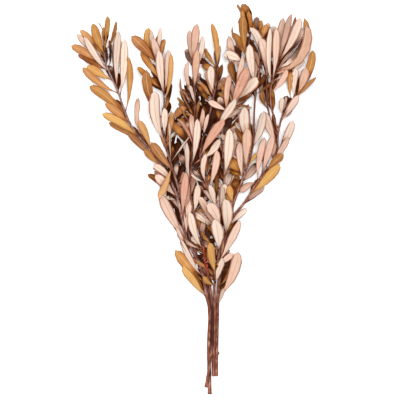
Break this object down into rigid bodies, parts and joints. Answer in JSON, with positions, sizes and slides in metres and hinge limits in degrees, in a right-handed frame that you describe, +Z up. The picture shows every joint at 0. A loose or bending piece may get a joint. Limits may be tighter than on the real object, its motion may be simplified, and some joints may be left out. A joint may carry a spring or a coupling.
{
  "type": "dried foliage bunch",
  "caption": "Loose bunch of dried banksia branches lying down: woody stems, bare at the cut ends, that spread into shoots set with long leathery leaves.",
  "frame": {"origin": "centre of the floor area under the lying bunch, on the surface it rests on", "axes": "+Y from the cut stem ends to the leaf tips, +Z up, +X to the right when seen from above with the tips ahead"},
  "size_m": [0.3892, 0.6242, 0.0833],
  "materials": {
    "bark": "dry rough bark",
    "dried_leaf_ochre": "dry matt leaf, upper face",
    "dried_leaf_pink": "dry matt leaf, pale underside"
  },
  "bodies": {
    "root": {"centre_stem": "bark", "inner_left_stem": "bark", "left_stem": "bark", "middle_stem": "bark", "right_stem": "bark", "centre_inner_shoot_leaves_1": "dried_leaf_pink", "centre_inner_shoot_leaves_2": "dried_leaf_ochre", "centre_right_shoot_leaves_1": "dried_leaf_ochre", "centre_right_shoot_leaves_2": "dried_leaf_pink", "centre_right_shoot_leaves_3": "dried_leaf_pink", "centre_right_shoot_leaves_4": "dried_leaf_ochre", "centre_right_shoot_leaves_5": "dried_leaf_pink", "centre_right_shoot_leaves_6": "dried_leaf_ochre", "centre_stem_leaves_1": "dried_leaf_pink", "centre_stem_leaves_2": "dried_leaf_pink", "centre_stem_leaves_3": "dried_leaf_pink", "centre_stem_leaves_4": "dried_leaf_pink", "centre_stem_leaves_5": "dried_leaf_ochre", "centre_stem_leaves_6": "dried_leaf_ochre", "centre_stem_leaves_7": "dried_leaf_ochre", "centre_top_shoot_leaves_1": "dried_leaf_pink", "centre_top_shoot_leaves_2": "dried_leaf_ochre", "centre_top_shoot_leaves_3": "dried_leaf_pink", "centre_top_shoot_leaves_4": "dried_leaf_ochre", "inner_left_stem_leaves_1": "dried_leaf_ochre", "inner_left_stem_leaves_2": "dried_leaf_ochre", "inner_left_stem_leaves_3": "dried_leaf_ochre", "inner_left_stem_leaves_4": "dried_leaf_ochre", "inner_right_shoot_leaves_1": "dried_leaf_ochre", "inner_right_shoot_leaves_2": "dried_leaf_pink", "left_stem_leaves_1": "dried_leaf_ochre", "left_stem_leaves_2": "dried_leaf_pink", "left_stem_leaves_3": "dried_leaf_pink", "left_stem_leaves_4": "dried_leaf_pink", "left_stem_leaves_5": "dried_leaf_ochre", "left_stem_leaves_6": "dried_leaf_ochre", "left_stem_leaves_7": "dried_leaf_pink", "left_stem_leaves_8": "dried_leaf_ochre", "middle_stem_leaves_1": "dried_leaf_pink", "middle_stem_leaves_2": "dried_leaf_pink", "middle_stem_leaves_3": "dried_leaf_pink", "middle_stem_leaves_4": "dried_leaf_ochre", "middle_stem_leaves_5": "dried_leaf_ochre", "middle_stem_leaves_6": "dried_leaf_pink", "right_stem_leaves_1": "dried_leaf_pink", "right_stem_leaves_2": "dried_leaf_pink", "right_stem_leaves_3": "dried_leaf_ochre", "right_stem_leaves_4": "dried_leaf_pink", "right_stem_leaves_5": "dried_leaf_pink", "right_stem_leaves_6": "dried_leaf_pink", "right_stem_leaves_7": "dried_leaf_ochre", "top_right_shoot_leaves_1": "dried_leaf_ochre", "top_right_shoot_leaves_2": "dried_leaf_pink", "top_right_shoot_leaves_3": "dried_leaf_pink"}
  },
  "joints": []
}
